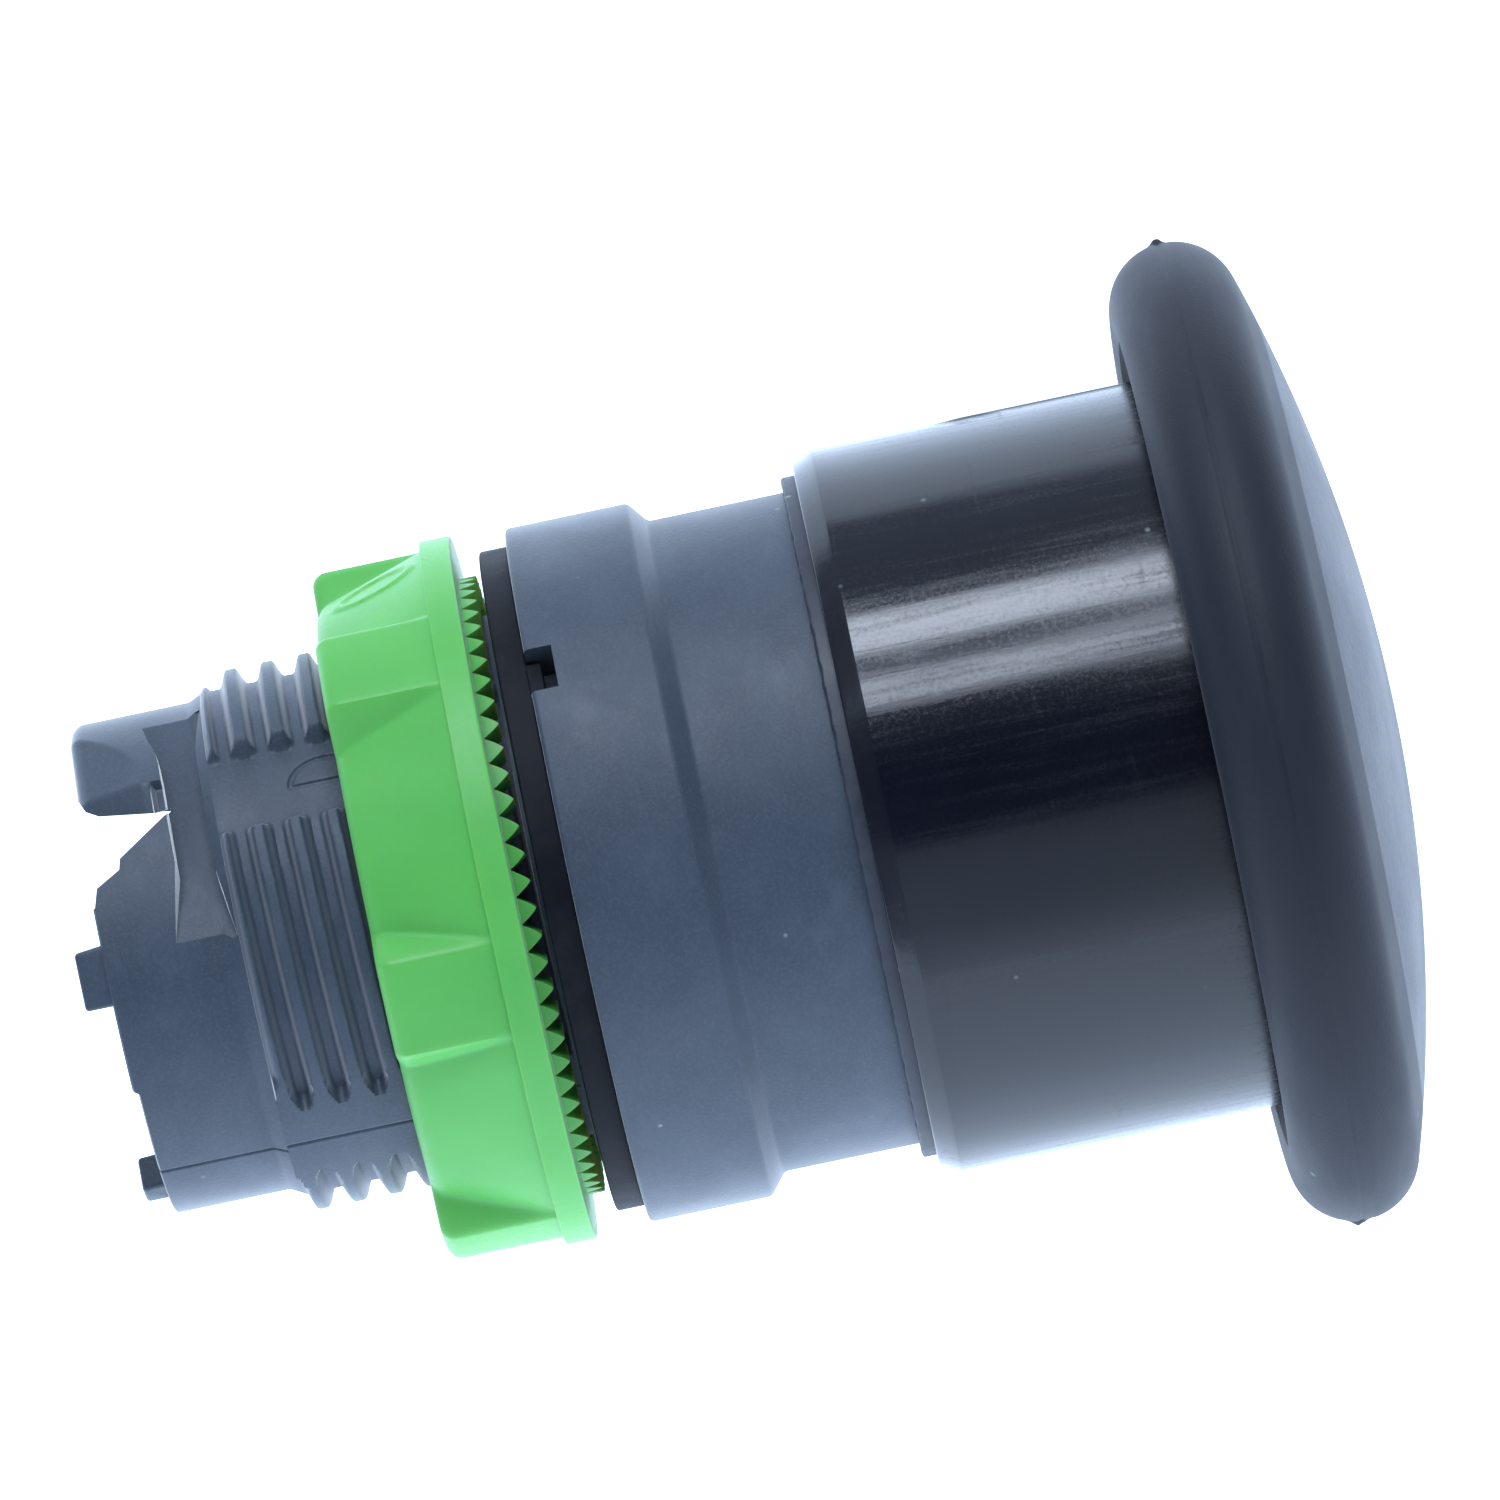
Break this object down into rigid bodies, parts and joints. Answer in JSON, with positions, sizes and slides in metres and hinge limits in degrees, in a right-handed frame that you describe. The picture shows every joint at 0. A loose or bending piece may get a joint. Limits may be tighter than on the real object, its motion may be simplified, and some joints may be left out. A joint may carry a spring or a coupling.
{
  "type": "industrial push button",
  "caption": "Panel-mounted mushroom-head push button: domed cap on a sprung sleeve, threaded body, gasket and lobed fixing nut.",
  "frame": {"origin": "on the button's axis, in the plane of the panel's outer face, where the gasket rests", "axes": "-Y along the axis out of the panel towards the cap, +Y into the panel, +Z twelve o'clock, where the flange's locating notch is, +X to the right as seen from in front"},
  "size_m": [0.04, 0.0532, 0.04],
  "materials": {
    "body_plastic": "fine moulded matte, blue-grey",
    "sleeve_plastic": "gloss black with fine scratches",
    "cap_plastic": "spark-eroded matte black",
    "nut_plastic": "satin green, slightly translucent",
    "gasket_rubber": "matte black rubber",
    "seal_rubber": "soft dark grey rubber",
    "acetal": "natural white, waxy",
    "spring_steel": "bright drawn wire and stamped strip"
  },
  "bodies": {
    "body": {"housing": "body_plastic", "panel_gasket": "gasket_rubber", "glide_ring": "acetal", "bumper_ring": "seal_rubber", "plunger_bush": "acetal", "stem_seal": "seal_rubber", "spring_seat": "spring_steel", "return_spring": "spring_steel"},
    "operator": {"mushroom_cap": "cap_plastic", "cap_snap_ring": "spring_steel", "operator_sleeve": "sleeve_plastic", "wiper_seal": "seal_rubber", "plunger": "acetal", "plunger_screw": "spring_steel", "screw_washer": "spring_steel", "spring_retainer": "acetal", "stop_washer": "spring_steel", "retaining_clip": "spring_steel", "rear_pusher": "acetal", "pusher_clip": "spring_steel"},
    "nut": {"fixing_nut": "nut_plastic"}
  },
  "joints": [
    {"name": "operator_slide", "type": "slide", "parent": "body", "child": "operator", "axis": [0, 1, 0], "range_m": [0, 0.005], "stiffness_N_per_m": 800, "springref_m": -0.006, "deforming": ["return_spring"]},
    {"name": "nut_travel", "type": "slide", "parent": "body", "child": "nut", "axis": [0, 1, 0], "range_m": [0, 0.012]}
  ]
}
